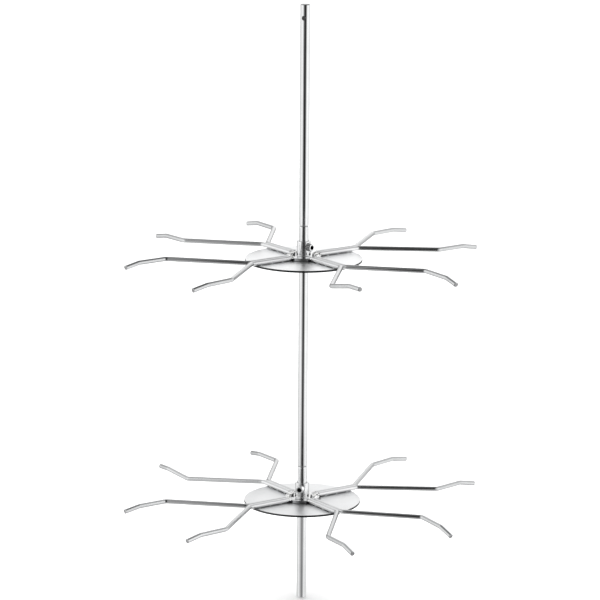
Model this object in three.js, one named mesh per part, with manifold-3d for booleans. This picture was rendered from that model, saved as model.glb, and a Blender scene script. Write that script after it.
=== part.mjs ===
// A rotating two-tier display rack for hanging goods. An upright shaft, screwed together
// from three sections, carries two round plates, and each plate carries eight wire hook
// arms in four side-by-side pairs. Millimetres, +Z up, origin at the centre of the shaft's foot.
import * as THREE from 'three';
import { mergeVertices } from 'three/addons/utils/BufferGeometryUtils.js';
import Module from 'manifold-3d';

const wasm = await Module();
wasm.setup();

// ---- driving dimensions ----

const GAP = 0.3;  // between two pieces that touch
const ROUND_SIDES = 32;  // facets round the shaft, hubs and screws
const PLATE_SIDES = 72;
const WIRE_SIDES = 12;

const SHAFT_LENGTH = 614;
const SHAFT_DIAMETER = 9.7;
const LOWER_JOINT_HEIGHT = 139.4;  // where the lower and middle sections meet
const UPPER_JOINT_HEIGHT = 389.4;  // where the middle and upper sections meet
const END_CHAMFER = 0.8;
const JOINT_CHAMFER = 0.4;

const STUD_DIAMETER = 6;
const STUD_LENGTH = 24;
const STUD_CHAMFER = 0.6;

const CROSS_HOLE_DIAMETER = 4;
const CROSS_HOLE_BELOW_TOP = 13.8;
const CROSS_HOLE_TURN = -112;  // degrees from +X

const PLATE_DIAMETER = 118.4;
const PLATE_THICKNESS = 2;

const COLLAR_DIAMETER = 14;
const COLLAR_TOP = 18;  // above the plate
const COLLAR_CHAMFER = 0.4;
const FLANGE_DIAMETER = 35.6;
const FLANGE_THICKNESS = 2.8;
const FLANGE_CHAMFER = 0.6;
const SHAFT_CLEARANCE = 0.15;  // radial, shaft to hub bore

const SCREW_DIAMETER = 7.9;
const SCREW_LENGTH = 6;
const SCREW_HEIGHT = 12.4;  // above the plate
const SCREW_CHAMFER = 0.6;
const SOCKET_ACROSS_FLATS = 4;
const SOCKET_DEPTH = 3;

const WIRE_DIAMETER = 4.8;
const PAIRS = 4;
const SPLIT_RADIUS = 66.2;  // from the shaft's axis to where a pair parts
const SPREAD = 41.2;  // degrees that each wire turns out at the split
const ARM_LENGTH = 83;  // split to shoulder
const HOOK_SPLAY = 3;  // degrees between the hook and the pair's own line
const HOOK_LENGTH = 30.6;  // shoulder to tip bend
const TIP_LENGTH = 17.5;
const TIP_DIP = 10;  // degrees
const BEND_RADIUS = 7;
const BEND_STEP = 11;  // degrees of bend to each facet ring

// The arms are bent by hand, so most are a few degrees off the drawing. Degrees, in the order
// of the arms' numbers: spread and rise at the split, splay and lift of the hook, then of its tip.
const UPPER_TIER = {
  name: 'upper',
  plateTop: 356.5,
  turn: 36.1,
  screwTurn: -43,
  bends: [
    { spread: 3, rise: 1, splay: -3, tipSplay: -1, tipLift: -1 },
    { spread: -1, rise: -2, splay: 6, lift: -1, tipSplay: 3, tipLift: 1 },
    { spread: -1, rise: -1, splay: -1, tipSplay: -4, tipLift: -1 },
    { spread: 4, rise: 0.5, splay: -3, lift: -1, tipSplay: 1, tipLift: -1 },
    { rise: 1.5, splay: 1, lift: -1, tipSplay: -6, tipLift: 1 },
    { rise: 1.5, splay: 3, lift: -1, tipLift: -1 },
    { spread: 2, splay: -2, lift: 11, tipLift: 10 },
    { spread: -5, rise: 1.5, splay: 1, lift: -3, tipSplay: -5, tipLift: -2 },
  ],
};
const LOWER_TIER = {
  name: 'lower',
  plateTop: 104.5,
  turn: 34.4,
  screwTurn: -105,
  bends: [
    { spread: -2, rise: 0.5, splay: -6, lift: 3, tipSplay: 6 },
    { splay: 8, lift: 1, tipSplay: -5, tipLift: 3 },
    { spread: -1, rise: -1, splay: -6, lift: 1, tipSplay: 5 },
    { spread: -1, rise: -2.5, splay: 5, lift: 8, tipSplay: -3, tipLift: 6 },
    { rise: 1, splay: -1, lift: -1 },
    { spread: -1, rise: 0.5, splay: -1, lift: -1, tipSplay: 7 },
    { rise: -0.5, splay: 1, tipSplay: 4, tipLift: -5 },
    { spread: 2, splay: -3, lift: -4, tipSplay: 4, tipLift: -11 },
  ],
};

// ---- materials ----

function steel(color, roughness) {
  return new THREE.MeshStandardMaterial({ color, roughness, metalness: 1 });
}

const FINISHES = {
  shaft: () => steel(0xd4d6d8, 0.15),
  stud: () => steel(0x9a9c9e, 0.4),
  plate: () => steel(0xe2e3e4, 0.35),
  hub: () => steel(0xdcdddf, 0.2),
  screw: () => steel(0xb8babc, 0.3),
  wire: () => steel(0xd8dadc, 0.15),
};

// ---- shape helpers ----

const UP = new THREE.Vector3(0, 0, 1);
const radians = THREE.MathUtils.degToRad;

// A solid of revolution about Z. Each outline point is [radius, height].
function turned(outline, sides = ROUND_SIDES) {
  const points = outline.map(([radius, height]) => new THREE.Vector2(radius, height));
  const geometry = new THREE.LatheGeometry(points, sides);
  geometry.rotateX(Math.PI / 2);
  return geometry;
}

// A rod's outline from the axis to the axis, with a chamfer at each end.
function rodOutline(radius, bottom, top, bottomChamfer, topChamfer) {
  return [
    [0, bottom],
    [radius - bottomChamfer, bottom],
    [radius, bottom + bottomChamfer],
    [radius, top - topChamfer],
    [radius - topChamfer, top],
    [0, top],
  ];
}

// A hexagonal prism, wide enough across its flats for a key, rising from the origin.
function hexPrism(acrossFlats, length) {
  const cornerRadius = acrossFlats / 2 / Math.cos(Math.PI / 6);
  const geometry = new THREE.CylinderGeometry(cornerRadius, cornerRadius, length, 6);
  geometry.rotateX(Math.PI / 2);
  geometry.translate(0, 0, length / 2);
  return geometry;
}

function toManifold(geometry) {
  const bare = geometry.clone();
  bare.deleteAttribute('normal');
  bare.deleteAttribute('uv');
  const merged = mergeVertices(bare);
  const vertProperties = new Float32Array(merged.attributes.position.array);
  const triVerts = new Uint32Array(merged.index.array);
  return new wasm.Manifold(new wasm.Mesh({ numProp: 3, vertProperties, triVerts }));
}

// The first geometry with each of the others cut away.
function cut(geometry, ...cutters) {
  let solid = toManifold(geometry);
  for (const cutter of cutters) {
    solid = solid.subtract(toManifold(cutter));
  }
  const mesh = solid.getMesh();
  const result = new THREE.BufferGeometry();
  result.setAttribute('position', new THREE.BufferAttribute(mesh.vertProperties, 3));
  result.setIndex(new THREE.BufferAttribute(mesh.triVerts, 1));
  result.computeVertexNormals();
  return result;
}

// A cylinder across the shaft's axis, from one radius out to another.
function crossCylinder(radius, fromRadius, toRadius, height, turn) {
  const length = toRadius - fromRadius;
  const geometry = new THREE.CylinderGeometry(radius, radius, length, ROUND_SIDES);
  geometry.rotateZ(-Math.PI / 2);
  geometry.translate(fromRadius + length / 2, 0, height);
  geometry.rotateZ(radians(turn));
  return geometry;
}

function piece(name, geometry, material) {
  const mesh = new THREE.Mesh(geometry, material);
  mesh.name = name;
  return mesh;
}

// ---- wire arms ----

// A route of straight runs joined by round bends. It answers only at its own stations: the
// run ends and a few points round each bend, so straight runs cost no facets.
class BentWire extends THREE.Curve {
  constructor(corners, bendRadius) {
    super();
    this.points = [];
    this.tangents = [];
    const first = corners[0];
    const last = corners[corners.length - 1];
    this.addStation(first, corners[1].clone().sub(first));
    for (let i = 1; i < corners.length - 1; i += 1) {
      this.addBend(corners[i - 1], corners[i], corners[i + 1], bendRadius);
    }
    this.addStation(last, last.clone().sub(corners[corners.length - 2]));
  }

  addStation(point, direction) {
    this.points.push(point.clone());
    this.tangents.push(direction.clone().normalize());
  }

  addBend(before, corner, after, radius) {
    const into = corner.clone().sub(before).normalize();
    const out = after.clone().sub(corner).normalize();
    const angle = into.angleTo(out);
    const setback = radius * Math.tan(angle / 2);
    const axis = into.clone().cross(out).normalize();
    const start = corner.clone().addScaledVector(into, -setback);
    const inward = axis.clone().cross(into);
    const centre = start.clone().addScaledVector(inward, radius);
    const steps = Math.max(1, Math.round(THREE.MathUtils.radToDeg(angle) / BEND_STEP));
    for (let i = 0; i <= steps; i += 1) {
      const turn = (angle * i) / steps;
      const spoke = inward.clone().multiplyScalar(-radius).applyAxisAngle(axis, turn);
      this.addStation(centre.clone().add(spoke), into.clone().applyAxisAngle(axis, turn));
    }
  }

  get steps() {
    return this.points.length - 1;
  }

  getPointAt(u, target = new THREE.Vector3()) {
    return target.copy(this.points[Math.round(u * this.steps)]);
  }

  getTangentAt(u, target = new THREE.Vector3()) {
    return target.copy(this.tangents[Math.round(u * this.steps)]);
  }
}

// A unit vector that leans out from the pair's line by splay and up by lift, in degrees.
function heading(splay, lift) {
  const out = radians(splay);
  const rise = radians(lift);
  return new THREE.Vector3(
    Math.cos(out) * Math.cos(rise),
    Math.sin(out) * Math.cos(rise),
    Math.sin(rise),
  );
}

// The wire's corner points in its pair's frame: X along the pair, Y to the wire's own side,
// Z above the plate. side is 1 or -1.
function armCorners(bend, side) {
  const { spread = 0, rise = 0, splay = 0, lift = 0, tipSplay = 0, tipLift = 0 } = bend;
  const innerEnd = FLANGE_DIAMETER / 2 + GAP;
  const sideways = (WIRE_DIAMETER + GAP) / 2;
  const height = WIRE_DIAMETER / 2 + GAP;
  const start = new THREE.Vector3(innerEnd, sideways, height);
  const split = new THREE.Vector3(SPLIT_RADIUS, sideways, height);
  const armWay = heading(SPREAD + spread, rise);
  const shoulder = split.clone().addScaledVector(armWay, ARM_LENGTH);
  const hookWay = heading(HOOK_SPLAY + splay, lift);
  const tipBend = shoulder.clone().addScaledVector(hookWay, HOOK_LENGTH);
  const tip = tipBend.clone().addScaledVector(heading(tipSplay, tipLift - TIP_DIP), TIP_LENGTH);
  const corners = [start, split, shoulder, tipBend, tip];
  return corners.map((corner) => new THREE.Vector3(corner.x, corner.y * side, corner.z));
}

function wireGeometry(corners) {
  const section = new THREE.Shape();
  for (let i = 0; i < WIRE_SIDES; i += 1) {
    const angle = (2 * Math.PI * (i + 0.5)) / WIRE_SIDES;
    const x = (WIRE_DIAMETER / 2) * Math.cos(angle);
    const y = (WIRE_DIAMETER / 2) * Math.sin(angle);
    if (i === 0) {
      section.moveTo(x, y);
    } else {
      section.lineTo(x, y);
    }
  }
  section.closePath();
  const route = new BentWire(corners, BEND_RADIUS);
  return new THREE.ExtrudeGeometry(section, { steps: route.steps, extrudePath: route });
}

// ---- shaft ----

function shaftSection(bottom, top, studBelow, studAbove) {
  const radius = SHAFT_DIAMETER / 2;
  const bottomChamfer = studBelow ? JOINT_CHAMFER : END_CHAMFER;
  const topChamfer = studAbove ? JOINT_CHAMFER : END_CHAMFER;
  const body = turned(rodOutline(radius, bottom, top, bottomChamfer, topChamfer));
  const holeRadius = STUD_DIAMETER / 2 + GAP;
  const holeDepth = STUD_LENGTH / 2 + GAP;
  const holes = [];
  if (studBelow) {
    holes.push(turned(rodOutline(holeRadius, bottom - 1, bottom + holeDepth, 0, 0)));
  }
  if (studAbove) {
    holes.push(turned(rodOutline(holeRadius, top - holeDepth, top + 1, 0, 0)));
  }
  return { body, holes };
}

function buildShaft() {
  const group = new THREE.Group();
  const half = GAP / 2;
  const lower = shaftSection(0, LOWER_JOINT_HEIGHT - half, false, true);
  const middle = shaftSection(LOWER_JOINT_HEIGHT + half, UPPER_JOINT_HEIGHT - half, true, true);
  const upper = shaftSection(UPPER_JOINT_HEIGHT + half, SHAFT_LENGTH, true, false);
  const holeHeight = SHAFT_LENGTH - CROSS_HOLE_BELOW_TOP;
  const holeRadius = CROSS_HOLE_DIAMETER / 2;
  upper.holes.push(
    crossCylinder(holeRadius, -SHAFT_DIAMETER, SHAFT_DIAMETER, holeHeight, CROSS_HOLE_TURN),
  );
  group.add(piece('shaft_lower', cut(lower.body, ...lower.holes), FINISHES.shaft()));
  group.add(piece('shaft_middle', cut(middle.body, ...middle.holes), FINISHES.shaft()));
  group.add(piece('shaft_upper', cut(upper.body, ...upper.holes), FINISHES.shaft()));
  group.add(joinStud('lower_joint_stud', LOWER_JOINT_HEIGHT));
  group.add(joinStud('upper_joint_stud', UPPER_JOINT_HEIGHT));
  return group;
}

// The stud inside a joint line. It stops short of both blind holes' ends.
function joinStud(name, height) {
  const reach = STUD_LENGTH / 2;
  const outline = rodOutline(
    STUD_DIAMETER / 2, height - reach, height + reach, STUD_CHAMFER, STUD_CHAMFER,
  );
  return piece(name, turned(outline), FINISHES.stud());
}

// ---- tiers: each is built on a plate top at Z = 0 ----

function hubGeometry(screwTurn) {
  const bore = SHAFT_DIAMETER / 2 + SHAFT_CLEARANCE;
  const collar = COLLAR_DIAMETER / 2;
  const flange = FLANGE_DIAMETER / 2;
  const flangeTop = GAP + FLANGE_THICKNESS;
  const outline = [
    [bore, -PLATE_THICKNESS],
    [collar, -PLATE_THICKNESS],
    [collar, GAP],
    [flange, GAP],
    [flange, flangeTop - FLANGE_CHAMFER],
    [flange - FLANGE_CHAMFER, flangeTop],
    [collar, flangeTop],
    [collar, COLLAR_TOP - COLLAR_CHAMFER],
    [collar - COLLAR_CHAMFER, COLLAR_TOP],
    [bore, COLLAR_TOP],
    [bore, -PLATE_THICKNESS],
  ];
  const screwHoleRadius = SCREW_DIAMETER / 2 + GAP;
  const screwHole = crossCylinder(screwHoleRadius, 1, COLLAR_DIAMETER, SCREW_HEIGHT, screwTurn);
  return cut(turned(outline), screwHole);
}

// A headless socket screw along X, its tip by the shaft and its socket facing out.
function setScrewGeometry() {
  const radius = SCREW_DIAMETER / 2;
  const body = turned(rodOutline(radius, 0, SCREW_LENGTH, SCREW_CHAMFER, SCREW_CHAMFER));
  const socket = hexPrism(SOCKET_ACROSS_FLATS, SOCKET_DEPTH + 1);
  socket.translate(0, 0, SCREW_LENGTH - SOCKET_DEPTH);
  const geometry = cut(body, socket);
  geometry.rotateY(Math.PI / 2);
  geometry.translate(SHAFT_DIAMETER / 2 + SHAFT_CLEARANCE + GAP, 0, SCREW_HEIGHT);
  return geometry;
}

function plateGeometry() {
  const hole = COLLAR_DIAMETER / 2 + GAP;
  const rim = PLATE_DIAMETER / 2;
  const outline = [
    [hole, -PLATE_THICKNESS],
    [rim, -PLATE_THICKNESS],
    [rim, 0],
    [hole, 0],
    [hole, -PLATE_THICKNESS],
  ];
  return turned(outline, PLATE_SIDES);
}

function buildTier({ name, plateTop, turn, screwTurn, bends }) {
  const tier = new THREE.Group();
  tier.position.z = plateTop;
  tier.add(piece(`${name}_plate`, plateGeometry(), FINISHES.plate()));
  tier.add(piece(`${name}_hub`, hubGeometry(screwTurn), FINISHES.hub()));
  const screw = piece(`${name}_set_screw`, setScrewGeometry(), FINISHES.screw());
  screw.setRotationFromAxisAngle(UP, radians(screwTurn));
  tier.add(screw);
  for (let pair = 0; pair < PAIRS; pair += 1) {
    const pairGroup = new THREE.Group();
    pairGroup.setRotationFromAxisAngle(UP, radians(turn + (360 / PAIRS) * pair));
    for (const [place, side] of [[0, -1], [1, 1]]) {
      const index = 2 * pair + place;
      const geometry = wireGeometry(armCorners(bends[index], side));
      pairGroup.add(piece(`${name}_arm_${index + 1}`, geometry, FINISHES.wire()));
    }
    tier.add(pairGroup);
  }
  return tier;
}

// ---- the rack ----

const rack = new THREE.Group();
rack.add(buildShaft());
rack.add(buildTier(UPPER_TIER));
rack.add(buildTier(LOWER_TIER));

export default rack;
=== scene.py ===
"""Looks of a rotating two-tier display rack: polished shaft, round plates and bent wire hooks."""
import math

import bmesh
import bpy
from mathutils import Matrix, Vector, noise


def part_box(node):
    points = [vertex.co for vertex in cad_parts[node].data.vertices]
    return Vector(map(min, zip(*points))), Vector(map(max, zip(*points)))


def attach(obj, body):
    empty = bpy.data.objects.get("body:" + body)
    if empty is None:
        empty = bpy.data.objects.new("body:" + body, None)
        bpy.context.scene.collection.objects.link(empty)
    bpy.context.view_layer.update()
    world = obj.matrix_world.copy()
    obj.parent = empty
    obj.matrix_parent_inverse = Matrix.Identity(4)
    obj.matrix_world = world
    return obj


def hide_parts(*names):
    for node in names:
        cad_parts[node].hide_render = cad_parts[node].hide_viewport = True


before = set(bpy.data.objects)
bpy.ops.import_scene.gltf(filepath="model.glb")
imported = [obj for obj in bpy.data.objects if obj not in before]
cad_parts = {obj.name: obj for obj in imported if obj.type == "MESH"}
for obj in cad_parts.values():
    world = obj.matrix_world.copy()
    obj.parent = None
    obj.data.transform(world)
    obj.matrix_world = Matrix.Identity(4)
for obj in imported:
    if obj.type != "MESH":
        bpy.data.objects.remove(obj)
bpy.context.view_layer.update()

MM = 0.001
UP = Vector((0, 0, 1))

# ---- dimensions read from the frame ----


def radius_of(node):
    """Half the width of a round node's CAD box."""
    low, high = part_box(node)
    return (high.x - low.x) / 2


SHAFT_RADIUS = radius_of("shaft_lower")
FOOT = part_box("shaft_lower")[0].z
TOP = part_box("shaft_upper")[1].z
LOWER_JOINT = (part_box("shaft_lower")[1].z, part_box("shaft_middle")[0].z)
UPPER_JOINT = (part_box("shaft_middle")[1].z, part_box("shaft_upper")[0].z)
STUD_RADIUS = radius_of("lower_joint_stud")
PLATE_RADIUS = radius_of("upper_plate")
FLANGE_RADIUS = radius_of("upper_hub")

# ---- dimensions shared with the CAD source, in metres and degrees ----

GAP = 0.3 * MM
COLLAR_RADIUS = 7 * MM
FLANGE_THICKNESS = 2.8 * MM
SHAFT_CLEARANCE = 0.15 * MM
SCREW_HEIGHT = 12.4 * MM
SCREW_RADIUS = 3.95 * MM
SCREW_LENGTH = 6 * MM
SOCKET_ACROSS_FLATS = 4 * MM
SOCKET_DEPTH = 3 * MM
CROSS_HOLE_RADIUS = 2 * MM
CROSS_HOLE_BELOW_TOP = 13.8 * MM
CROSS_HOLE_TURN = -112
STUD_HOLE_DEPTH = 12.3 * MM

WIRE_RADIUS = 2.4 * MM
SPLIT_RADIUS = 66.2 * MM
SPREAD = 41.2
ARM_LENGTH = 83 * MM
HOOK_SPLAY = 3
HOOK_LENGTH = 30.6 * MM
TIP_LENGTH = 17.5 * MM
TIP_DIP = 10
BEND_RADIUS = 7 * MM

# ---- finer sizes that only this model has ----

ROD_SIDES = 128
STUD_SIDES = 48
HUB_SIDES = 160
CUTTER_SIDES = 64
SCREW_SIDES = 72
PLATE_SIDES = 288
WIRE_SIDES = 32

JOINT_CHAMFER = 0.3 * MM
JOINT_CHAMFER_LENGTH = 1.2 * MM
END_CHAMFER = 0.8 * MM
ROD_EDGE = 0.12 * MM
EDGE = 0.15 * MM
RIM_BAND = 0.25 * MM
THREAD_PITCH = 1 * MM
STUD_THREAD_DEPTH = 0.35 * MM
STUD_CHAMFER = 0.7 * MM
SCREW_THREAD_DEPTH = 0.4 * MM
SCREW_CHAMFER = 0.5 * MM
SCREW_HOLE_CLEARANCE = 0.15 * MM
SOCKET_LEAD_IN = 1.12
SOCKET_DRILL_POINT = 0.5 * MM
WIRE_CROP = 0.35 * MM
WIRE_SPACING = 5 * MM
WIRE_BEND_STEP = 3.5
WIRE_WAVINESS = 0.07 * MM
WAVES_PER_METRE = 22
WAVINESS_EASES_IN = 60 * MM
WAVINESS_SEED = 1
NUGGET_RADII = (28 * MM, 41 * MM, 54 * MM)
TACK_TURNS = (-45, 135)
TACK_RADIUS = 12.6 * MM
# Where the near-black lumps of painted shade sit, between the tacks and the collar.
CREASE_RADIUS = 9.4 * MM
TACK_SEED = 31
CREASE_SEED = 41

# Half sizes of weld lumps: outward, across and up.
BEAD_SIZE = (3.6 * MM, 2.6 * MM, 2.1 * MM)
BRIDGE_SIZE = (3.0 * MM, 2.6 * MM, 1.6 * MM)
# Near-black lumps beside each pair's end: painted shade.
SHADE_LUMP_SIZE = (1.5 * MM, 1.2 * MM, 1.1 * MM)
NUGGET_SIZE = (1.4 * MM, 0.8 * MM, 0.4 * MM)
TACK_SIZE = (3.3 * MM, 3.6 * MM, 2.3 * MM)
# Near-black lumps between each tack and the collar: painted shade.
CREASE_SIZE = (0.6 * MM, 2.4 * MM, 1.8 * MM)

# Edges sharper than this many degrees stay crisp.
SHARP_ANGLE = 32
WELD_SHARP_ANGLE = 80

# The hand-bent differences between arms, as in the CAD source.
TIERS = {
    "upper": {
        "turn": 36.1,
        "screw_turn": -43,
        "bends": [
            {"spread": 3, "rise": 1, "splay": -3, "tip_splay": -1, "tip_lift": -1},
            {"spread": -1, "rise": -2, "splay": 6, "lift": -1, "tip_splay": 3, "tip_lift": 1},
            {"spread": -1, "rise": -1, "splay": -1, "tip_splay": -4, "tip_lift": -1},
            {"spread": 4, "rise": 0.5, "splay": -3, "lift": -1, "tip_splay": 1, "tip_lift": -1},
            {"rise": 1.5, "splay": 1, "lift": -1, "tip_splay": -6, "tip_lift": 1},
            {"rise": 1.5, "splay": 3, "lift": -1, "tip_lift": -1},
            {"spread": 2, "splay": -2, "lift": 11, "tip_lift": 10},
            {"spread": -5, "rise": 1.5, "splay": 1, "lift": -3, "tip_splay": -5, "tip_lift": -2},
        ],
    },
    "lower": {
        "turn": 34.4,
        "screw_turn": -105,
        "bends": [
            {"spread": -2, "rise": 0.5, "splay": -6, "lift": 3, "tip_splay": 6},
            {"splay": 8, "lift": 1, "tip_splay": -5, "tip_lift": 3},
            {"spread": -1, "rise": -1, "splay": -6, "lift": 1, "tip_splay": 5},
            {"spread": -1, "rise": -2.5, "splay": 5, "lift": 8, "tip_splay": -3, "tip_lift": 6},
            {"rise": 1, "splay": -1, "lift": -1},
            {"spread": -1, "rise": 0.5, "splay": -1, "lift": -1, "tip_splay": 7},
            {"rise": -0.5, "splay": 1, "tip_splay": 4, "tip_lift": -5},
            {"spread": 2, "splay": -3, "lift": -4, "tip_splay": 4, "tip_lift": -11},
        ],
    },
}

# ---- camera and studio ----

CAMERA_AIM = Vector((-3.45 * MM, 0, 313.2 * MM))
CAMERA_DISTANCE = 3.555
CAMERA_ELEVATION = 13.163
CAMERA_ROLL = 0.376
CAMERA_LENS = 211.6

WORLD_BRIGHTNESS = 1.05
FLOOR_HALF = 12.0
FLOOR_GAP = 0.2 * MM
SOFTBOX_SIZE = 4
SOFTBOX_POWER = 120
SOFTBOX_PLACE = (0, 0.6, 3.2)

# The panels that only reflections see, in metres.
PANELS_HALF_WIDTH = 1.2
PANELS_FRONT = -0.4
PANELS_REAR = 0.3
PANELS_TOP = 0.85
MIDDLE_TOP = 0.29
MIDDLE_BOTTOM = 0.04
BASE_TOP = -0.02
PANELS_BOTTOM = -0.35

# Z of a reflected direction, from -1 to 1: one band of light fades to the next between the two.
DEPTH = (-0.75, -0.4)
HORIZON = (-0.16, 0.1)
SKY = (0.3, 0.65)

# Brightness across each band of the surround: (X of the direction, from -1 to 1, brightness).
DEEP_STOPS = [(-1.0, 1.2), (-0.6, 0.95), (-0.3, 1.0), (0.0, 1.2), (0.5, 1.3), (1.0, 1.4)]
BELOW_STOPS = [
    (-1.0, 1.3), (-0.9, 1.2), (-0.7, 0.82), (-0.5, 0.45), (-0.3, 0.3), (0.0, 0.38),
    (0.2, 0.48), (0.47, 0.74), (0.7, 1.0), (0.9, 1.4), (1.0, 1.5),
]
ABOVE_STOPS = [
    (-1.0, 1.7), (-0.9, 1.35), (-0.7, 0.77), (-0.47, 0.38), (-0.2, 0.8),
    (0.15, 1.38), (0.45, 1.0), (0.75, 1.0), (0.9, 1.3), (1.0, 1.5),
]
HIGH_STOPS = [
    (-1.0, 1.2), (-0.66, 0.9), (-0.54, 0.78), (-0.35, 0.9), (-0.15, 1.15),
    (0.12, 1.25), (0.35, 0.95), (0.54, 0.9), (0.7, 0.9), (1.0, 1.1),
]

# Brightness across each panel near the rack: (X in metres, brightness).
FRONT_STOPS = [
    (-1.2, 1.5), (-0.65, 1.6), (-0.5, 1.3), (-0.35, 0.7), (-0.21, 0.44), (-0.17, 0.16), (-0.14, 0.05),
    (0.1, 0.035), (0.15, 0.1), (0.2, 0.4), (0.3, 0.85), (0.45, 1.45), (0.8, 1.75), (1.2, 1.6),
]
MIDDLE_STOPS = [
    (-1.2, 1.5), (-0.65, 1.6), (-0.45, 1.3), (-0.3, 0.8), (-0.17, 0.52), (-0.13, 0.2), (-0.1, 0.07),
    (0.08, 0.05), (0.12, 0.11), (0.17, 0.45), (0.26, 0.9), (0.4, 1.45), (0.8, 1.75), (1.2, 1.6),
]
TOP_STOPS = [
    (-1.2, 1.4), (-0.7, 1.15), (-0.5, 0.85), (-0.2, 0.5), (-0.15, 0.24), (0.0, 0.14),
    (0.18, 0.14), (0.25, 0.38), (0.5, 0.65), (0.8, 0.95), (1.2, 1.2),
]
BOTTOM_STOPS = [
    (-1.2, 1.4), (-0.5, 1.15), (-0.2, 0.9), (0.0, 0.8), (0.2, 0.8), (0.5, 1.0), (1.2, 1.3),
]
BASE_STOPS = [
    (-1.2, 1.3), (-0.5, 1.0), (-0.2, 0.65), (0.0, 0.28), (0.2, 0.65), (0.45, 1.35), (1.2, 1.5),
]

# ---- materials ----

# The inner stretch of each wire, where the pairs lie on the plate, is painted lighter: a painted
# highlight. It is also a little more satin.
LIT_INNER_LENGTH = 42 * MM
LIT_INNER_FADE = 12 * MM
LIT_INNER_DARK = 0.66
LIT_INNER_LIGHT = 0.74
INNER_EXTRA_ROUGHNESS = 0.22

# Noise stays mostly between these two values, so they map to the ends of a range.
NOISE_LOW = 0.3
NOISE_HIGH = 0.7


def steel_tone(level):
    """A grey with the faint blue of bright steel."""
    return (level, level + 0.005, level + 0.01)


class Nodes:
    """A short way to write a node material."""

    def __init__(self, name):
        self.material = bpy.data.materials.new(name)
        self.material.use_nodes = True
        self.tree = self.material.node_tree
        self.shader = self.tree.nodes["Principled BSDF"]
        self.shader.inputs["Metallic"].default_value = 1.0

    def add(self, kind, **values):
        node = self.tree.nodes.new(kind)
        for key, value in values.items():
            setattr(node, key, value)
        return node

    def link(self, source, target):
        self.tree.links.new(source, target)

    def noise(self, vector, scale, detail=2.0, roughness=0.5):
        node = self.add("ShaderNodeTexNoise")
        node.inputs["Scale"].default_value = scale
        node.inputs["Detail"].default_value = detail
        node.inputs["Roughness"].default_value = roughness
        self.link(vector, node.inputs["Vector"])
        return node.outputs["Fac"]

    def stretched(self, vector, scale):
        node = self.add("ShaderNodeMapping")
        node.inputs["Scale"].default_value = scale
        self.link(vector, node.inputs["Vector"])
        return node.outputs["Vector"]

    def ramp(self, value, low, high, to_low, to_high):
        """Maps low to to_low and high to to_high, and clamps the rest."""
        node = self.add("ShaderNodeMapRange")
        node.inputs["From Min"].default_value = low
        node.inputs["From Max"].default_value = high
        node.inputs["To Min"].default_value = to_low
        node.inputs["To Max"].default_value = to_high
        self.link(value, node.inputs["Value"])
        return node.outputs["Result"]

    def spread(self, noise_value, to_low=0.0, to_high=1.0):
        """Stretches a noise's usual values over a range."""
        return self.ramp(noise_value, NOISE_LOW, NOISE_HIGH, to_low, to_high)

    def math(self, operation, a, b=0.0):
        node = self.add("ShaderNodeMath", operation=operation)
        for socket, value in zip(node.inputs, (a, b)):
            if isinstance(value, (int, float)):
                socket.default_value = value
            else:
                self.link(value, socket)
        return node.outputs["Value"]

    def tint(self, value, dark, light):
        """A colour from dark to light as value goes from 0 to 1."""
        node = self.add("ShaderNodeMix", data_type="RGBA")
        node.inputs["A"].default_value = (*dark, 1)
        node.inputs["B"].default_value = (*light, 1)
        self.link(value, node.inputs["Factor"])
        return node.outputs["Result"]

    def blend(self, a, b, share):
        """The share of value a, plus the rest of value b."""
        return self.math("ADD", self.math("MULTIPLY", a, share), self.math("MULTIPLY", b, 1 - share))

    def mix(self, value, a, b):
        """Colour a where value is 0 and colour b where it is 1."""
        node = self.add("ShaderNodeMix", data_type="RGBA")
        self.link(value, node.inputs["Factor"])
        self.link(a, node.inputs["A"])
        self.link(b, node.inputs["B"])
        return node.outputs["Result"]

    def bump(self, height, distance, strength=1.0):
        node = self.add("ShaderNodeBump")
        node.inputs["Distance"].default_value = distance
        node.inputs["Strength"].default_value = strength
        self.link(height, node.inputs["Height"])
        self.link(node.outputs["Normal"], self.shader.inputs["Normal"])

    def position(self):
        return self.add("ShaderNodeTexCoord").outputs["Object"]

    def uv(self):
        return self.add("ShaderNodeTexCoord").outputs["UV"]


def drawn_steel(name, streaks, color_dark, color_light, rough_low, rough_high, lit_inner_length=0):
    """Bright drawn or plated steel, with fine lines along U = constant and soft smudges.

    The first stretch of V, of the given length, is painted lighter: a painted highlight on the wires
    of each pair where they lie on the plate. It is also more satin there.
    """
    m = Nodes(name)
    wrap = m.uv()
    lines = m.noise(m.stretched(wrap, streaks), 1.0, detail=3.0)
    smudges = m.noise(m.position(), 45.0, detail=3.0)
    specks = m.noise(m.position(), 1400.0, detail=1.0)
    rough = m.spread(m.blend(lines, smudges, 0.6), rough_low, rough_high)
    worn = m.spread(m.blend(specks, smudges, 0.4))
    color = m.tint(worn, color_dark, color_light)
    if lit_inner_length:
        split = m.add("ShaderNodeSeparateXYZ")
        m.link(wrap, split.inputs["Vector"])
        fade = m.ramp(split.outputs["Y"], lit_inner_length, lit_inner_length + LIT_INNER_FADE, 1, 0)
        # Painted highlight: the lighter colour of the inner stretch.
        lit_inner_color = m.tint(worn, steel_tone(LIT_INNER_DARK), steel_tone(LIT_INNER_LIGHT))
        color = m.mix(fade, color, lit_inner_color)
        rough = m.math("ADD", rough, m.math("MULTIPLY", fade, INNER_EXTRA_ROUGHNESS))
    m.link(rough, m.shader.inputs["Roughness"])
    m.link(color, m.shader.inputs["Base Color"])
    m.bump(lines, 0.004 * MM)
    return m.material


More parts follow.
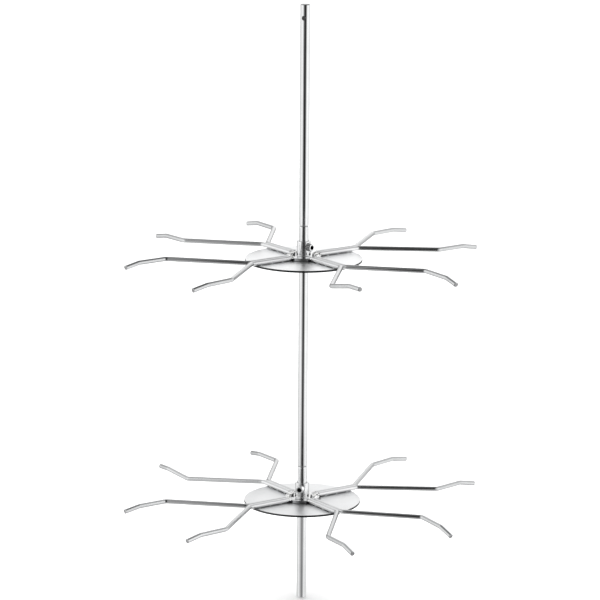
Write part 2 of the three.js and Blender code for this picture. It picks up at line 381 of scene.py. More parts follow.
def sheet_steel(name, color_dark, color_light):
    """Satin rolled sheet, with brushing along X, faint scratches and handling marks."""
    m = Nodes(name)
    position = m.position()
    brushing = m.noise(m.stretched(position, (60, 3200, 60)), 1.0, detail=3.0)
    marks = m.noise(position, 38.0, detail=4.0)
    scratches = m.noise(m.stretched(position, (900, 90, 90)), 1.0, detail=5.0, roughness=0.7)
    m.link(m.spread(m.blend(brushing, marks, 0.5), 0.26, 0.4), m.shader.inputs["Roughness"])
    m.link(m.tint(m.spread(marks), color_dark, color_light), m.shader.inputs["Base Color"])
    m.bump(m.math("ADD", brushing, m.math("MULTIPLY", scratches, 0.6)), 0.006 * MM)
    return m.material


def torn_steel(name, color_dark, color_light):
    """A dull, torn-looking skin: the plate's near-black rim, a cropped wire end, and the near-black
    painted shade in drilled holes and in the creases by the welds.
    """
    m = Nodes(name)
    position = m.position()
    tears = m.noise(m.stretched(position, (900, 900, 250)), 1.0, detail=4.0)
    m.link(m.spread(tears, 0.35, 0.55), m.shader.inputs["Roughness"])
    m.link(m.tint(m.spread(tears), color_dark, color_light), m.shader.inputs["Base Color"])
    m.bump(tears, 0.02 * MM)
    return m.material


def turned_steel(name, color, rough_low, rough_high):
    """Lathe-turned steel: fine rings round the Z axis on every face."""
    m = Nodes(name)
    position = m.position()
    split = m.add("ShaderNodeSeparateXYZ")
    m.link(position, split.inputs["Vector"])
    x_squared = m.math("MULTIPLY", split.outputs["X"], split.outputs["X"])
    y_squared = m.math("MULTIPLY", split.outputs["Y"], split.outputs["Y"])
    radius = m.math("SQRT", m.math("ADD", x_squared, y_squared))
    along = m.add("ShaderNodeCombineXYZ")
    m.link(radius, along.inputs["X"])
    m.link(split.outputs["Z"], along.inputs["Y"])
    rings = m.noise(along.outputs["Vector"], 4200.0, detail=2.0)
    smudges = m.noise(position, 160.0, detail=3.0)
    rough = m.spread(m.blend(rings, smudges, 0.5), rough_low, rough_high)
    m.link(rough, m.shader.inputs["Roughness"])
    dark = tuple(channel * 0.88 for channel in color)
    m.link(m.tint(m.spread(smudges), dark, color), m.shader.inputs["Base Color"])
    m.bump(rings, 0.005 * MM)
    return m.material


def weld_steel(name):
    """Bright weld metal with a rippled skin and a faint heat tint."""
    m = Nodes(name)
    position = m.position()
    ripples = m.noise(position, 1500.0, detail=3.0)
    heat = m.noise(position, 260.0, detail=2.0)
    straw = (0.7, 0.695, 0.68)
    color = m.tint(m.ramp(heat, 0.35, 0.7, 0, 1), steel_tone(0.8), straw)
    m.link(m.spread(ripples, 0.12, 0.26), m.shader.inputs["Roughness"])
    m.link(color, m.shader.inputs["Base Color"])
    m.bump(ripples, 0.03 * MM)
    return m.material


SHAFT_STEEL = drawn_steel(
    "shaft_polished_steel", (5200, 26, 1), steel_tone(0.58), steel_tone(0.65), 0.06, 0.12,
)
WIRE_STEEL = drawn_steel(
    "wire_plated_steel", (6500, 60, 1), steel_tone(0.475), steel_tone(0.55), 0.1, 0.18,
    lit_inner_length=LIT_INNER_LENGTH,
)
# Both plates are one satin steel in two copies: the upper painted lighter and the lower darker,
# painted light and shade for how each tier faces the studio.
PLATE_STEEL = {
    "upper": sheet_steel("upper_plate_lit_steel", steel_tone(0.83), steel_tone(0.91)),
    "lower": sheet_steel("lower_plate_shaded_steel", steel_tone(0.69), steel_tone(0.77)),
}
# The plate's outer edge, near black.
RIM_STEEL = torn_steel("plate_rim_steel", (0.025, 0.025, 0.026), (0.06, 0.06, 0.062))
# Near-black painted shade for the walls of the cross holes and of the screw socket, where shade falls
# inside them.
HOLE_SHADE_STEEL = torn_steel("hole_painted_shade", (0.015, 0.015, 0.016), (0.04, 0.04, 0.042))
CUT_STEEL = torn_steel("wire_end_steel", (0.2, 0.2, 0.205), (0.36, 0.36, 0.365))
HUB_STEEL = turned_steel("hub_turned_steel", steel_tone(0.7), 0.1, 0.2)
# The hub's turned steel at half the brightness: painted shade on the flange's outer side, down
# between the plate and the wires.
FLANGE_SHADE_STEEL = turned_steel("flange_edge_painted_shade", steel_tone(0.34), 0.15, 0.28)
SCREW_STEEL = turned_steel("screw_steel", steel_tone(0.78), 0.12, 0.22)
STUD_STEEL = turned_steel("stud_steel", steel_tone(0.45), 0.35, 0.5)
WELD_STEEL = weld_steel("weld_steel")
# Near-black painted shade for the lumps in the creases beside the welds.
SHADE_LUMP_STEEL = torn_steel("weld_crease_painted_shade", (0.012, 0.012, 0.014), (0.05, 0.05, 0.055))

# ---- mesh helpers ----


def new_object(name, bm, materials, sharp_degrees=SHARP_ANGLE):
    """Turns bm into a smooth-shaded object, with edges sharper than the angle left crisp."""
    mesh = bpy.data.meshes.new(name)
    bmesh.ops.recalc_face_normals(bm, faces=bm.faces)
    bm.to_mesh(mesh)
    bm.free()
    for material in materials:
        mesh.materials.append(material)
    mesh.shade_smooth()
    mesh.set_sharp_from_angle(angle=math.radians(sharp_degrees))
    obj = bpy.data.objects.new(name, mesh)
    bpy.context.scene.collection.objects.link(obj)
    return obj


def place(obj, body, node):
    """Puts obj on its body, in place of its CAD node."""
    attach(obj, body)
    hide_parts(node)
    return obj


def rounded(corners, closed=False):
    """An outline with round corners. Each corner is (radius, height, rounding)."""
    points = []
    count = len(corners)
    for i, (r, z, rounding) in enumerate(corners):
        here = Vector((r, z))
        if rounding <= 0 or (not closed and i in (0, count - 1)):
            points.append(here)
            continue
        before = Vector(corners[i - 1][:2]) - here
        after = Vector(corners[(i + 1) % count][:2]) - here
        before.normalize()
        after.normalize()
        half = before.angle(after) / 2
        setback = rounding / math.tan(half)
        centre = here + (before + after).normalized() * (rounding / math.sin(half))
        start = here + before * setback - centre
        sweep = math.pi - 2 * half
        side = 1 if start.cross(here + after * setback - centre) > 0 else -1
        steps = max(3, round(math.degrees(sweep) / 15))
        for step in range(steps + 1):
            angle = side * sweep * step / steps
            c = math.cos(angle)
            s = math.sin(angle)
            points.append(centre + Vector((start.x * c - start.y * s, start.x * s + start.y * c)))
    return points


def grid_rings(bm, rings, closed=False):
    """Joins rings of points, all of one count, into quads. Rings of one point close an end."""
    made = [[bm.verts.new(p) for p in ring] for ring in rings]
    pairs = list(zip(made, made[1:]))
    if closed:
        pairs.append((made[-1], made[0]))
    for a, b in pairs:
        n = max(len(a), len(b))
        for i in range(n):
            j = (i + 1) % n
            if len(a) == 1:
                bm.faces.new((a[0], b[j], b[i]))
            elif len(b) == 1:
                bm.faces.new((a[i], a[j], b[0]))
            else:
                bm.faces.new((a[i], a[j], b[j], b[i]))
    return made


def circle(radius, z, sides):
    """Points round the Z axis, or the one point on it if the radius is nothing."""
    if radius < 1e-9:
        return [Vector((0, 0, z))]
    turns = [2 * math.pi * i / sides for i in range(sides)]
    return [Vector((radius * math.cos(t), radius * math.sin(t), z)) for t in turns]


def lathe_mesh(outline, sides, closed):
    """Turns an outline of (radius, height) points round the Z axis."""
    bm = bmesh.new()
    grid_rings(bm, [circle(r, z, sides) for r, z in outline], closed)
    return bm


def mark_rim(bm, radius, index):
    """Gives the faces outside radius the material of that index."""
    for face in bm.faces:
        middle = face.calc_center_median()
        if math.hypot(middle.x, middle.y) > radius:
            face.material_index = index


def wrap_uv(obj):
    """U goes round the Z axis and V up it, both in metres."""
    layer = obj.data.uv_layers.new(name="Wrap")
    for polygon in obj.data.polygons:
        middle = math.atan2(polygon.center.y, polygon.center.x)
        for loop in polygon.loop_indices:
            p = obj.data.vertices[obj.data.loops[loop].vertex_index].co
            turn = math.atan2(p.y, p.x)
            if turn - middle > math.pi:
                turn -= 2 * math.pi
            if turn - middle < -math.pi:
                turn += 2 * math.pi
            layer.data[loop].uv = (turn * SHAFT_RADIUS, p.z)


def cut_away(obj, cutter_mesh):
    """Cuts the cutter out of obj, for good. The cut faces get obj's second material."""
    for face in cutter_mesh.faces:
        face.material_index = 1
    cutter = new_object("cutter", cutter_mesh, obj.data.materials)
    modifier = obj.modifiers.new("cut", "BOOLEAN")
    modifier.operation = "DIFFERENCE"
    modifier.solver = "EXACT"
    modifier.object = cutter
    evaluated = obj.evaluated_get(bpy.context.evaluated_depsgraph_get())
    mesh = bpy.data.meshes.new_from_object(evaluated)
    obj.modifiers.clear()
    old = obj.data
    obj.data = mesh
    bpy.data.meshes.remove(old)
    bpy.data.objects.remove(cutter)
    obj.data.shade_smooth()
    obj.data.set_sharp_from_angle(angle=math.radians(SHARP_ANGLE))


def lay_across(bm, start, height, turn):
    """Lays a mesh built up the Z axis on its side, pointing outward at the turn in degrees."""
    lay = (
        Matrix.Rotation(math.radians(turn), 4, "Z")
        @ Matrix.Translation((start, 0, height))
        @ Matrix.Rotation(math.pi / 2, 4, "Y")
    )
    bmesh.ops.transform(bm, matrix=lay, verts=bm.verts)


def cross_cutter(outline, height, turn):
    """A turned cutter laid on its side: outline is (radius, distance from the shaft's axis)."""
    bm = lathe_mesh(outline, CUTTER_SIDES, closed=False)
    lay_across(bm, 0, height, turn)
    return bm


def thread_rings(bottom, top, radius, depth, chamfer, sides, steps_per_turn):
    """Rings of points along a helical thread, with a chamfer at both ends."""
    steps = round((top - bottom) / THREAD_PITCH * steps_per_turn)
    rings = []
    for k in range(steps + 1):
        z = bottom + (top - bottom) * k / steps
        limit = radius - max(0.0, chamfer - min(z - bottom, top - z))
        points = []
        for i in range(sides):
            phase = (z / THREAD_PITCH - i / sides) % 1.0
            crest = radius - depth * (1 - abs(2 * phase - 1))
            r = min(crest, limit)
            a = 2 * math.pi * i / sides
            points.append(Vector((r * math.cos(a), r * math.sin(a), z)))
        rings.append(points)
    return rings


# ---- shaft ----


def shaft_section(name, bottom, top, stud_below, stud_above):
    """One rod of the shaft. Each end is a joint round a stud, or a plain chamfered end."""
    hole = STUD_RADIUS + GAP
    chamfer_below = JOINT_CHAMFER if stud_below else END_CHAMFER
    chamfer_above = JOINT_CHAMFER if stud_above else END_CHAMFER
    length_below = JOINT_CHAMFER_LENGTH if stud_below else END_CHAMFER
    length_above = JOINT_CHAMFER_LENGTH if stud_above else END_CHAMFER
    corners = []
    if stud_below:
        depth = bottom + STUD_HOLE_DEPTH
        corners += [(0, depth, 0), (hole, depth, 0), (hole, bottom, ROD_EDGE)]
    else:
        corners += [(0, bottom, 0)]
    corners += [
        (SHAFT_RADIUS - chamfer_below, bottom, ROD_EDGE),
        (SHAFT_RADIUS, bottom + length_below, ROD_EDGE),
        (SHAFT_RADIUS, top - length_above, ROD_EDGE),
        (SHAFT_RADIUS - chamfer_above, top, ROD_EDGE),
    ]
    if stud_above:
        depth = top - STUD_HOLE_DEPTH
        corners += [(hole, top, ROD_EDGE), (hole, depth, 0), (0, depth, 0)]
    else:
        corners += [(0, top, 0)]
    bm = lathe_mesh(rounded(corners), ROD_SIDES, closed=False)
    return new_object(name + "_rod", bm, [SHAFT_STEEL, HOLE_SHADE_STEEL])


def build_stud(node):
    """A headless stud with a thread from end to end."""
    low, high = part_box(node)
    threads = thread_rings(
        low.z, high.z, STUD_RADIUS, STUD_THREAD_DEPTH, STUD_CHAMFER, STUD_SIDES, steps_per_turn=8,
    )
    bm = bmesh.new()
    grid_rings(bm, [[Vector((0, 0, low.z))], *threads, [Vector((0, 0, high.z))]])
    stud = new_object(node + "_threaded", bm, [STUD_STEEL])
    return place(stud, "shaft", node)


def cut_cross_hole(rod):
    """The hole through the top of the shaft, flared where it breaks the surface."""
    outside = 2 * SHAFT_RADIUS
    mouth = SHAFT_RADIUS - RIM_BAND
    flare = CROSS_HOLE_RADIUS + outside - mouth
    through = [
        (0, -outside),
        (flare, -outside),
        (CROSS_HOLE_RADIUS, -mouth),
        (CROSS_HOLE_RADIUS, mouth),
        (flare, outside),
        (0, outside),
    ]
    # The hole's walls take the near-black painted shade.
    cut_away(rod, cross_cutter(through, TOP - CROSS_HOLE_BELOW_TOP, CROSS_HOLE_TURN))


def build_shaft():
    """Three rods end to end, and the two studs inside their joints."""
    lower = shaft_section("shaft_lower", FOOT, LOWER_JOINT[0], False, True)
    middle = shaft_section("shaft_middle", LOWER_JOINT[1], UPPER_JOINT[0], True, True)
    upper = shaft_section("shaft_upper", UPPER_JOINT[1], TOP, True, False)
    cut_cross_hole(upper)
    for obj, node in ((lower, "shaft_lower"), (middle, "shaft_middle"), (upper, "shaft_upper")):
        wrap_uv(obj)
        place(obj, "shaft", node)
    build_stud("lower_joint_stud")
    build_stud("upper_joint_stud")


# ---- hub, set screw and plate ----


def build_hub(tier, plate_top, screw_turn):
    """The flanged collar, with the cross hole that its set screw sits in."""
    node = tier + "_hub"
    low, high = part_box(node)
    bore = SHAFT_RADIUS + SHAFT_CLEARANCE
    flange_bottom = plate_top + GAP
    flange_top = flange_bottom + FLANGE_THICKNESS
    corners = [
        (bore, low.z, 0.2 * MM),
        (COLLAR_RADIUS, low.z, 0.3 * MM),
        (COLLAR_RADIUS, flange_bottom, 0),
        (FLANGE_RADIUS, flange_bottom, 0.2 * MM),
        (FLANGE_RADIUS, flange_top, 0.6 * MM),
        (COLLAR_RADIUS, flange_top, 1.0 * MM),
        (COLLAR_RADIUS, high.z, 0.35 * MM),
        (bore, high.z, 0.3 * MM),
    ]
    bm = lathe_mesh(rounded(corners, closed=True), HUB_SIDES, closed=True)
    # The flange's outer side gets the darker copy: painted shade.
    mark_rim(bm, FLANGE_RADIUS - RIM_BAND, 2)
    hub = new_object(node + "_turned", bm, [HUB_STEEL, HOLE_SHADE_STEEL, FLANGE_SHADE_STEEL])
    hole = SCREW_RADIUS + SCREW_HOLE_CLEARANCE
    inside = 1 * MM
    mouth = COLLAR_RADIUS - EDGE
    outside = 2 * COLLAR_RADIUS
    opening = [
        (0, inside),
        (hole, inside),
        (hole, mouth),
        (hole + outside - mouth, outside),
        (0, outside),
    ]
    # The screw hole's walls take the near-black painted shade.
    cut_away(hub, cross_cutter(opening, plate_top + SCREW_HEIGHT, screw_turn))
    return place(hub, node, node)


def hexagon(across_flats, z):
    """A hexagon with as many points as the rings of the screw's thread."""
    points = []
    for i in range(SCREW_SIDES):
        a = 2 * math.pi * i / SCREW_SIDES
        off_flat = (a + math.pi / 6) % (math.pi / 3) - math.pi / 6
        r = across_flats / 2 / math.cos(off_flat)
        points.append(Vector((r * math.cos(a), r * math.sin(a), z)))
    return points


def build_set_screw(tier, plate_top, screw_turn):
    """A headless screw: helical thread, chamfered nose and a real hexagon socket."""
    threads = thread_rings(
        0, SCREW_LENGTH, SCREW_RADIUS, SCREW_THREAD_DEPTH, SCREW_CHAMFER, SCREW_SIDES,
        steps_per_turn=14,
    )
    outer = [[Vector((0, 0, 0))], *threads]
    floor = SCREW_LENGTH - SOCKET_DEPTH
    socket = [
        hexagon(SOCKET_ACROSS_FLATS * SOCKET_LEAD_IN, SCREW_LENGTH),
        hexagon(SOCKET_ACROSS_FLATS, SCREW_LENGTH - EDGE),
        hexagon(SOCKET_ACROSS_FLATS, floor),
        [Vector((0, 0, floor - SOCKET_DRILL_POINT))],
    ]
    bm = bmesh.new()
    made = grid_rings(bm, outer + socket)
    socket_verts = {vert for verts in made[len(outer):] for vert in verts}
    # The socket's faces get the near-black painted shade.
    for face in bm.faces:
        if socket_verts.issuperset(face.verts):
            face.material_index = 1
    start = SHAFT_RADIUS + SHAFT_CLEARANCE + GAP
    lay_across(bm, start, plate_top + SCREW_HEIGHT, screw_turn)
    screw = new_object(tier + "_set_screw_threaded", bm, [SCREW_STEEL, HOLE_SHADE_STEEL])
    return place(screw, tier + "_screw", tier + "_set_screw")


def build_plate(tier):
    """The round sheet plate, with a near-black rim."""
    node = tier + "_plate"
    low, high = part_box(node)
    hole = COLLAR_RADIUS + GAP
    corners = [
        (hole, low.z, EDGE),
        (PLATE_RADIUS, low.z, EDGE),
        (PLATE_RADIUS, high.z, EDGE),
        (hole, high.z, EDGE),
    ]
    bm = lathe_mesh(rounded(corners, closed=True), PLATE_SIDES, closed=True)
    mark_rim(bm, PLATE_RADIUS - RIM_BAND, 1)
    plate = new_object(node + "_sheet", bm, [PLATE_STEEL[tier], RIM_STEEL])
    return place(plate, tier + "_tier", node)


# ---- wire arms ----


def heading(splay, lift):
    """A direction, from degrees out to the side and degrees up."""
    out = math.radians(splay)
    rise = math.radians(lift)
    flat = math.cos(rise)
    return Vector((math.cos(out) * flat, math.sin(out) * flat, math.sin(rise)))


def arm_corners(bend, side):
    """The wire's corner points in its pair's frame: X along the pair, Z above the plate."""
    start = Vector((FLANGE_RADIUS + GAP, WIRE_RADIUS + GAP / 2, WIRE_RADIUS + GAP))
    split = Vector((SPLIT_RADIUS, start.y, start.z))
    arm_way = heading(SPREAD + bend.get("spread", 0), bend.get("rise", 0))
    shoulder = split + arm_way * ARM_LENGTH
    hook_way = heading(HOOK_SPLAY + bend.get("splay", 0), bend.get("lift", 0))
    tip_bend = shoulder + hook_way * HOOK_LENGTH
    tip_way = heading(bend.get("tip_splay", 0), bend.get("tip_lift", 0) - TIP_DIP)
    tip = tip_bend + tip_way * TIP_LENGTH
    return [Vector((p.x, p.y * side, p.z)) for p in (start, split, shoulder, tip_bend, tip)]


def bent_route(corners, radius, spacing, bend_step):
    """Points along straight runs joined by round bends."""
    points = [corners[0].copy()]

    def run_to(end):
        begin = points[-1].copy()
        count = max(1, round((end - begin).length / spacing))
        for k in range(1, count + 1):
            points.append(begin.lerp(end, k / count))

    for before, corner, after in zip(corners, corners[1:], corners[2:]):
        into = (corner - before).normalized()
        out = (after - corner).normalized()
        angle = into.angle(out)
        axis = into.cross(out).normalized()
        start = corner - into * radius * math.tan(angle / 2)
        inward = axis.cross(into)
        centre = start + inward * radius
        run_to(start)
        steps = max(2, round(math.degrees(angle) / bend_step))
        for k in range(1, steps + 1):
            spoke = Matrix.Rotation(angle * k / steps, 3, axis) @ (-inward * radius)
            points.append(centre + spoke)
    run_to(corners[-1])
    return points


def wire_stations(lengths):
    """Where along the wire its rings sit, and how full each is: the cropped ends are thinner."""
    whole = lengths[-1]
    stations = [(0.0, 0.84), (WIRE_CROP * 0.5, 0.95), (WIRE_CROP, 1.0)]
    stations += [(s, 1.0) for s in lengths if 3 * WIRE_CROP < s < whole - 3 * WIRE_CROP]
    stations += [(whole - WIRE_CROP, 1.0), (whole - WIRE_CROP * 0.5, 0.95), (whole, 0.84)]
    return stations


def point_at(points, lengths, s):
    """The point at length s along the route."""
    last = len(lengths) - 2
    for k in range(last + 1):
        if s <= lengths[k + 1] or k == last:
            share = (s - lengths[k]) / (lengths[k + 1] - lengths[k])
            return points[k].lerp(points[k + 1], share)


def unwrap_wire(bm, stations, made):
    """U goes round the wire and V along it, both in metres."""
    uv = bm.loops.layers.uv.new("Wrap")
    place_of = {}
    for (s, _), verts in zip(stations, made):
        for i, vert in enumerate(verts):
            place_of[vert] = (i, s)
    for face in bm.faces:
        turns = [place_of[loop.vert][0] for loop in face.loops]
        seam = max(turns) == WIRE_SIDES - 1 and min(turns) == 0 and len(turns) == 4
        for loop in face.loops:
            i, s = place_of[loop.vert]
            if seam and i == 0:
                i = WIRE_SIDES
            loop[uv].uv = (i / WIRE_SIDES * 2 * math.pi * WIRE_RADIUS, s)


# noise_vector follows the clock until the generator has a seed.
noise.seed_set(WAVINESS_SEED)


def sweep_wire(name, points, seed):
    """A round wire along points, with cropped ends and a trace of waviness."""
    lengths = [0.0]
    for a, b in zip(points, points[1:]):
        lengths.append(lengths[-1] + (b - a).length)
    stations = wire_stations(lengths)
    centres = []
    for s, _ in stations:
        where = Vector((s * WAVES_PER_METRE, seed * 7.3, 0.5))
        wobble = noise.noise_vector(where) * WIRE_WAVINESS
        ease = min(1.0, s / WAVINESS_EASES_IN)
        centres.append(point_at(points, lengths, s) + wobble * ease)
    normal = None
    rings = []
    for k, (centre, (_, fullness)) in enumerate(zip(centres, stations)):
        ahead = centres[min(k + 1, len(centres) - 1)]
        behind = centres[max(k - 1, 0)]
        tangent = (ahead - behind).normalized()
        if normal is None:
            normal = UP.cross(tangent).normalized()
        normal = (normal - tangent * normal.dot(tangent)).normalized()
        across = tangent.cross(normal)
        points_here = []
        for i in range(WIRE_SIDES):
            a = 2 * math.pi * i / WIRE_SIDES
            spoke = normal * math.cos(a) + across * math.sin(a)
            points_here.append(centre + spoke * WIRE_RADIUS * fullness)
        rings.append(points_here)
    bm = bmesh.new()
    made = grid_rings(bm, rings)
    for cap in (bm.faces.new(list(reversed(made[0]))), bm.faces.new(made[-1])):
        cap.material_index = 1
    unwrap_wire(bm, stations, made)
    return new_object(name, bm, [WIRE_STEEL, CUT_STEEL])


def build_arm(tier, index, plate_top):
    """One hook arm. Two arms, one for each side, make a pair, and a tier has four pairs."""
    pair, place_in_pair = divmod(index, 2)
    side = 1 if place_in_pair else -1
    turn = math.radians(TIERS[tier]["turn"] + 90 * pair)
    lay = Matrix.Translation((0, 0, plate_top)) @ Matrix.Rotation(turn, 4, "Z")
    corners = [lay @ p for p in arm_corners(TIERS[tier]["bends"][index], side)]
    route = bent_route(corners, BEND_RADIUS, WIRE_SPACING, WIRE_BEND_STEP)
    node = f"{tier}_arm_{index + 1}"
    seed = index + (0 if tier == "upper" else 8)
    arm = sweep_wire(node + "_wire", route, seed)
    return place(arm, tier + "_tier", node)


# ---- welds ----


def add_lump(bm, centre, size, turn, seed, unevenness, material=0):
    """A squashed ball with an uneven, rippled skin."""
    made = bmesh.ops.create_icosphere(bm, subdivisions=4, radius=1.0)
    lay = Matrix.Translation(centre) @ Matrix.Rotation(turn, 4, "Z")
    for vert in made["verts"]:
        p = vert.co
        swell = noise.noise(p * 1.3 + Vector((seed, 0, 0))) * unevenness
        ripple = noise.noise(p * 4.5 + Vector((0, seed, 0))) * unevenness * 0.3
        p = p * (1 + swell + ripple)
        vert.co = lay @ Vector((p.x * size[0], p.y * size[1], p.z * size[2]))
        for face in vert.link_faces:
            face.material_index = material


def build_pair_weld(tier, pair, plate_top):
    """The beads that join a pair's inner end to the flange, and the nuggets under its wires."""
    turn = math.radians(TIERS[tier]["turn"] + 90 * pair)
    along = Vector((math.cos(turn), math.sin(turn), 0))
    across = Vector((-math.sin(turn), math.cos(turn), 0))
    seed = pair * 3.7 + (0 if tier == "upper" else 20)
    wire = WIRE_RADIUS + GAP / 2

    def spot(out, aside, height):
        return Vector((0, 0, plate_top)) + along * out + across * aside + UP * height

    bm = bmesh.new()
    for way in (-1, 1):
        bead = spot(FLANGE_RADIUS - 0.4 * MM, way * wire, 2.4 * MM)
        add_lump(bm, bead, BEAD_SIZE, turn, seed + way, unevenness=0.16)
        # A near-black lump beside the pair's end, against the flange: painted shade in the crease.
        scale = spot(FLANGE_RADIUS - 0.2 * MM, way * 5.8 * MM, 1.2 * MM)
        add_lump(bm, scale, SHADE_LUMP_SIZE, turn, seed + way + 5, unevenness=0.2, material=1)
    bridge = spot(FLANGE_RADIUS - 1.2 * MM, 0, 2.3 * MM)
    add_lump(bm, bridge, BRIDGE_SIZE, turn, seed + 2, unevenness=0.16)
    for k, distance in enumerate(NUGGET_RADII):
        for way in (-1, 1):
            nugget = spot(distance, way * wire, 0.15 * MM)
            add_lump(bm, nugget, NUGGET_SIZE, turn, seed + k + way, unevenness=0.15)
    materials = [WELD_STEEL, SHADE_LUMP_STEEL]
    weld = new_object(f"{tier}_weld_{pair + 1}", bm, materials, WELD_SHARP_ANGLE)
    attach(weld, tier + "_tier")


def build_hub_tacks(tier, plate_top):
    """Two tack welds on the flange, each with a near-black lump against the collar: painted shade in
    the crease.
    """
    flange_top = UP * (plate_top + GAP + FLANGE_THICKNESS)
    bm = bmesh.new()
    for k, tack_turn in enumerate(TACK_TURNS):
        turn = math.radians(TIERS[tier]["turn"] + tack_turn)
        out = Vector((math.cos(turn), math.sin(turn), 0))
        tack = out * TACK_RADIUS + flange_top
        add_lump(bm, tack, TACK_SIZE, turn, TACK_SEED + k, unevenness=0.2)
        # A near-black lump between the tack and the collar: painted shade in the crease.
        crease = out * CREASE_RADIUS + flange_top + UP * 0.6 * MM
        add_lump(bm, crease, CREASE_SIZE, turn, CREASE_SEED + k, unevenness=0.3, material=1)
    materials = [WELD_STEEL, SHADE_LUMP_STEEL]
    tacks = new_object(f"{tier}_hub_tacks", bm, materials, WELD_SHARP_ANGLE)
    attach(tacks, tier + "_hub")


def build_tier(tier):
    """One plate with its hub, set screw, eight arms and welds."""
    plate_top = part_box(tier + "_plate")[1].z
    screw_turn = TIERS[tier]["screw_turn"]
    build_plate(tier)
    build_hub(tier, plate_top, screw_turn)
    build_set_screw(tier, plate_top, screw_turn)
    for index in range(8):
        build_arm(tier, index, plate_top)
    for pair in range(4):
        build_pair_weld(tier, pair, plate_top)
    build_hub_tacks(tier, plate_top)


# ---- camera, floor and light ----


def build_camera():
    """A long lens from the front, a little above the rack."""
    elevation = math.radians(CAMERA_ELEVATION)
    roll = math.radians(CAMERA_ROLL)
    back = Vector((0, -math.cos(elevation), math.sin(elevation)))
    right = Vector((1, 0, 0))
    up = back.cross(right)
    turned_right = right * math.cos(roll) + up * math.sin(roll)
    turned_up = up * math.cos(roll) - right * math.sin(roll)
    data = bpy.data.cameras.new("camera")
    data.sensor_width = 36
    data.lens = CAMERA_LENS
    data.clip_start = 0.1
    data.clip_end = 50
    camera = bpy.data.objects.new("camera", data)
    axes = Matrix((turned_right, turned_up, back)).transposed().to_4x4()
    camera.matrix_world = Matrix.Translation(CAMERA_AIM + back * CAMERA_DISTANCE) @ axes
    bpy.context.scene.collection.objects.link(camera)
    bpy.context.scene.camera = camera


def panel(name, corners, material):
    """One flat piece of the studio."""
    mesh = bpy.data.meshes.new(name)
    mesh.from_pydata(corners, [], [tuple(range(len(corners)))])
    mesh.materials.append(material)
    obj = bpy.data.objects.new(name, mesh)
    bpy.context.scene.collection.objects.link(obj)
    return obj


def level_panel(name, half_width, front, rear, z, material):
    """A panel that lies flat at height z."""
    corners = [
        (-half_width, front, z),
        (half_width, front, z),
        (half_width, rear, z),
        (-half_width, rear, z),
    ]
    return panel(name, corners, material)


def upright_panel(name, half_width, y, low, high, material):
    """A panel that stands across the Y axis."""
    corners = [
        (-half_width, y, low),
        (half_width, y, low),
        (half_width, y, high),
        (-half_width, y, high),
    ]
    return panel(name, corners, material)


def only_in_reflections(obj):
    """Hides obj from everything except glossy rays."""
    obj.visible_camera = False
    obj.visible_diffuse = False
    obj.visible_transmission = False
    obj.visible_volume_scatter = False
    obj.visible_shadow = False


def ramp_along_x(tree, vector, stops):
    """Nodes whose output changes along X of the vector. Each stop is (x, brightness)."""
    split = tree.nodes.new("ShaderNodeSeparateXYZ")
    reach = tree.nodes.new("ShaderNodeMapRange")
    first = stops[0][0]
    last = stops[-1][0]
    reach.inputs["From Min"].default_value = first
    reach.inputs["From Max"].default_value = last
    ramp = tree.nodes.new("ShaderNodeValToRGB")
    elements = ramp.color_ramp.elements
    while len(elements) < len(stops):
        elements.new(0.5)
    for element, (where, value) in zip(elements, stops):
        element.position = (where - first) / (last - first)
        element.color = (value, value, value, 1)
    tree.links.new(vector, split.inputs["Vector"])
    tree.links.new(split.outputs["X"], reach.inputs["Value"])
    tree.links.new(reach.outputs["Result"], ramp.inputs["Fac"])
    return ramp.outputs["Color"]


def glow_across_x(name, stops):
    """A glowing material whose brightness changes along X."""
    material = bpy.data.materials.new(name)
    material.use_nodes = True
    tree = material.node_tree
    tree.nodes.clear()
    position = tree.nodes.new("ShaderNodeTexCoord")
    glow = tree.nodes.new("ShaderNodeEmission")
    output = tree.nodes.new("ShaderNodeOutputMaterial")
    color = ramp_along_x(tree, position.outputs["Object"], stops)
    tree.links.new(color, glow.inputs["Color"])
    tree.links.new(glow.outputs["Emission"], output.inputs["Surface"])
    return material


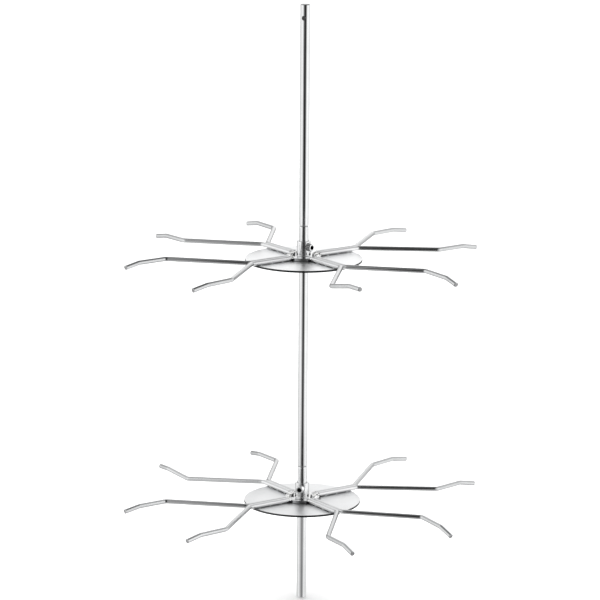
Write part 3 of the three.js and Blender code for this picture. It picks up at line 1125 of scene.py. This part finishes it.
def build_world():
    """White all round; in reflections, bright flanks and a softer back, band above band."""
    world = bpy.data.worlds.new("studio_surround")
    world.use_nodes = True
    tree = world.node_tree
    background = tree.nodes["Background"]
    output = tree.nodes["World Output"]
    background.inputs["Color"].default_value = (1, 1, 1, 1)
    background.inputs["Strength"].default_value = WORLD_BRIGHTNESS

    direction = tree.nodes.new("ShaderNodeTexCoord").outputs["Generated"]
    split = tree.nodes.new("ShaderNodeSeparateXYZ")
    tree.links.new(direction, split.inputs["Vector"])

    def change_with_height(limits, lower, upper):
        """Colour lower below limits[0] of the direction's Z, and colour upper above limits[1]."""
        reach = tree.nodes.new("ShaderNodeMapRange")
        reach.interpolation_type = "SMOOTHSTEP"
        reach.inputs["From Min"].default_value = limits[0]
        reach.inputs["From Max"].default_value = limits[1]
        blend = tree.nodes.new("ShaderNodeMix")
        blend.data_type = "RGBA"
        tree.links.new(split.outputs["Z"], reach.inputs["Value"])
        tree.links.new(reach.outputs["Result"], blend.inputs["Factor"])
        tree.links.new(lower, blend.inputs["A"])
        tree.links.new(upper, blend.inputs["B"])
        return blend.outputs["Result"]

    color = ramp_along_x(tree, direction, DEEP_STOPS)
    for limits, stops in ((DEPTH, BELOW_STOPS), (HORIZON, ABOVE_STOPS), (SKY, HIGH_STOPS)):
        color = change_with_height(limits, color, ramp_along_x(tree, direction, stops))
    reflected = tree.nodes.new("ShaderNodeBackground")
    rays = tree.nodes.new("ShaderNodeLightPath")
    choose = tree.nodes.new("ShaderNodeMixShader")
    for source, target in (
        (color, reflected.inputs["Color"]),
        (rays.outputs["Is Glossy Ray"], choose.inputs["Fac"]),
        (background.outputs["Background"], choose.inputs[1]),
        (reflected.outputs["Background"], choose.inputs[2]),
        (choose.outputs["Shader"], output.inputs["Surface"]),
    ):
        tree.links.new(source, target)
    bpy.context.scene.world = world


def build_floor():
    """A plain pale floor just below the foot."""
    paper = Nodes("white_floor")
    paper.shader.inputs["Metallic"].default_value = 0
    paper.shader.inputs["Base Color"].default_value = (0.92, 0.92, 0.92, 1)
    paper.shader.inputs["Roughness"].default_value = 0.9
    height = FOOT - FLOOR_GAP
    floor = level_panel("floor", FLOOR_HALF, -FLOOR_HALF, FLOOR_HALF, height, paper.material)
    floor.visible_glossy = False


def build_reflected_panels():
    """The dark strip in front, seen only in the steel, closed off above and below."""
    front_glow = glow_across_x("dark_gap", FRONT_STOPS)
    middle_glow = glow_across_x("middle_gap", MIDDLE_STOPS)
    top_glow = glow_across_x("soft_gap", TOP_STOPS)
    bottom_glow = glow_across_x("cellar_gap", BOTTOM_STOPS)
    base_glow = glow_across_x("low_gap", BASE_STOPS)
    for name, low, high, glow in (
        ("front_upper_wall", MIDDLE_TOP, PANELS_TOP, front_glow),
        ("front_middle_wall", MIDDLE_BOTTOM, MIDDLE_TOP, middle_glow),
        ("front_lower_wall", BASE_TOP, MIDDLE_BOTTOM, front_glow),
        ("front_base", PANELS_BOTTOM, BASE_TOP, base_glow),
    ):
        wall = upright_panel(name, PANELS_HALF_WIDTH, PANELS_FRONT, low, high, glow)
        only_in_reflections(wall)
    for name, z, glow in (("roof", PANELS_TOP, top_glow), ("cellar", PANELS_BOTTOM, bottom_glow)):
        deck = level_panel(name, PANELS_HALF_WIDTH, PANELS_FRONT, PANELS_REAR, z, glow)
        only_in_reflections(deck)


def build_softbox():
    """One large soft light overhead."""
    light = bpy.data.lights.new("overhead_softbox", "AREA")
    light.shape = "RECTANGLE"
    light.size = SOFTBOX_SIZE
    light.size_y = SOFTBOX_SIZE
    light.energy = SOFTBOX_POWER
    overhead = bpy.data.objects.new("overhead_softbox", light)
    overhead.location = SOFTBOX_PLACE
    overhead.visible_glossy = False
    overhead.visible_camera = False
    bpy.context.scene.collection.objects.link(overhead)


def build_studio():
    """The surround, the floor, the panels that the steel reflects, and the light."""
    bpy.context.scene.view_settings.view_transform = "Standard"
    build_world()
    build_floor()
    build_reflected_panels()
    build_softbox()


build_camera()
build_studio()
build_shaft()
for tier_name in TIERS:
    build_tier(tier_name)
